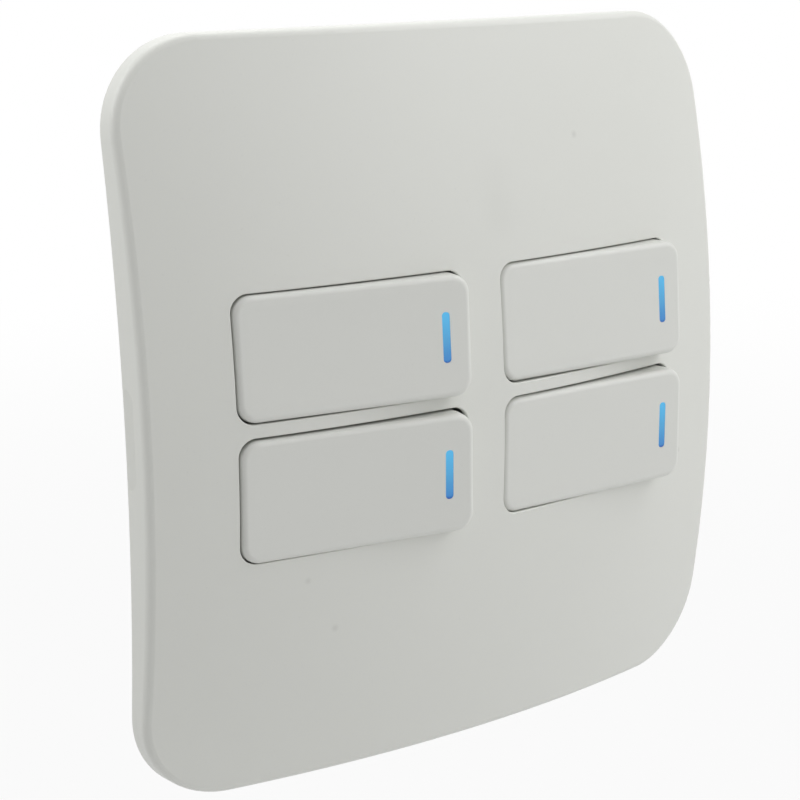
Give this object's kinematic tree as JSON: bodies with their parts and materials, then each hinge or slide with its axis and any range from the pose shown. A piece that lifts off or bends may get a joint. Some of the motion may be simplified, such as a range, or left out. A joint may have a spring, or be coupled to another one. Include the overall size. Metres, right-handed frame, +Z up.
{
  "type": "light switch",
  "caption": "Domed square wall switch with rocker keys, each carrying a blue light bar, over a support frame and snap-in contact modules.",
  "frame": {"origin": "on the wall face, in the middle of the box screws", "axes": "+X to the right seen from the room, +Y into the wall, +Z up"},
  "size_m": [0.118, 0.0305, 0.118],
  "materials": {
    "cover_plastic": "smooth satin moulded plastic",
    "key_plastic": "smooth satin moulded plastic",
    "light_bar": "clear tinted plastic, lit from behind",
    "frame_plastic": "matt glass-filled plastic",
    "housing_plastic": "matt moulded plastic",
    "terminal_brass": "bright stamped brass",
    "blade_brass": "bright stamped bronze",
    "screw_steel": "zinc-plated steel",
    "spring_steel": "drawn steel wire",
    "plunger_plastic": "smooth white plastic",
    "board_green": "lacquered circuit board"
  },
  "bodies": {
    "switch_body": {"cover_plate": "cover_plastic", "support_frame": "frame_plastic", "upper_left_housing": "housing_plastic", "upper_left_common_terminal": "terminal_brass", "upper_left_load_terminal": "terminal_brass", "upper_left_terminal_screws": "screw_steel", "upper_left_lamp_board": "board_green", "upper_right_housing": "housing_plastic", "upper_right_common_terminal": "terminal_brass", "upper_right_load_terminal": "terminal_brass", "upper_right_terminal_screws": "screw_steel", "upper_right_lamp_board": "board_green", "lower_left_housing": "housing_plastic", "lower_left_common_terminal": "terminal_brass", "lower_left_load_terminal": "terminal_brass", "lower_left_terminal_screws": "screw_steel", "lower_left_lamp_board": "board_green", "lower_right_housing": "housing_plastic", "lower_right_common_terminal": "terminal_brass", "lower_right_load_terminal": "terminal_brass", "lower_right_terminal_screws": "screw_steel", "lower_right_lamp_board": "board_green"},
    "upper_left_rocker": {"upper_left_rocker": "key_plastic", "upper_left_light_bar": "light_bar", "upper_left_plunger": "plunger_plastic", "upper_left_plunger_spring": "spring_steel"},
    "upper_left_blade": {"upper_left_contact_blade": "blade_brass"},
    "upper_right_rocker": {"upper_right_rocker": "key_plastic", "upper_right_light_bar": "light_bar", "upper_right_plunger": "plunger_plastic", "upper_right_plunger_spring": "spring_steel"},
    "upper_right_blade": {"upper_right_contact_blade": "blade_brass"},
    "lower_left_rocker": {"lower_left_rocker": "key_plastic", "lower_left_light_bar": "light_bar", "lower_left_plunger": "plunger_plastic", "lower_left_plunger_spring": "spring_steel"},
    "lower_left_blade": {"lower_left_contact_blade": "blade_brass"},
    "lower_right_rocker": {"lower_right_rocker": "key_plastic", "lower_right_light_bar": "light_bar", "lower_right_plunger": "plunger_plastic", "lower_right_plunger_spring": "spring_steel"},
    "lower_right_blade": {"lower_right_contact_blade": "blade_brass"}
  },
  "joints": [
    {"name": "upper_left_rocking", "type": "hinge", "parent": "switch_body", "child": "upper_left_rocker", "pos_m": [-0.02411, -0.01122, 0.0109], "axis": [0, 0, 1], "range_deg": [0, 10]},
    {"name": "upper_left_contact", "type": "hinge", "parent": "switch_body", "child": "upper_left_blade", "pos_m": [-0.02283, 0.00367, 0.0109], "axis": [0, 0, 1], "range_deg": [-14, 0]},
    {"name": "upper_right_rocking", "type": "hinge", "parent": "switch_body", "child": "upper_right_rocker", "pos_m": [0.02411, -0.01122, 0.0109], "axis": [0, 0, 1], "range_deg": [0, 10]},
    {"name": "upper_right_contact", "type": "hinge", "parent": "switch_body", "child": "upper_right_blade", "pos_m": [0.02283, 0.00367, 0.0109], "axis": [0, 0, 1], "range_deg": [-14, 0]},
    {"name": "lower_left_rocking", "type": "hinge", "parent": "switch_body", "child": "lower_left_rocker", "pos_m": [-0.02411, -0.01122, -0.01105], "axis": [0, 0, 1], "range_deg": [0, 10]},
    {"name": "lower_left_contact", "type": "hinge", "parent": "switch_body", "child": "lower_left_blade", "pos_m": [-0.02283, 0.00367, -0.01105], "axis": [0, 0, 1], "range_deg": [-14, 0]},
    {"name": "lower_right_rocking", "type": "hinge", "parent": "switch_body", "child": "lower_right_rocker", "pos_m": [0.02411, -0.01122, -0.01105], "axis": [0, 0, 1], "range_deg": [0, 10]},
    {"name": "lower_right_contact", "type": "hinge", "parent": "switch_body", "child": "lower_right_blade", "pos_m": [0.02283, 0.00367, -0.01105], "axis": [0, 0, 1], "range_deg": [-14, 0]}
  ],
  "couplings": [
    {"joint": "upper_left_contact", "follows": "upper_left_rocking", "ratio": -1.4},
    {"joint": "upper_right_contact", "follows": "upper_right_rocking", "ratio": -1.4},
    {"joint": "lower_left_contact", "follows": "lower_left_rocking", "ratio": -1.4},
    {"joint": "lower_right_contact", "follows": "lower_right_rocking", "ratio": -1.4}
  ]
}
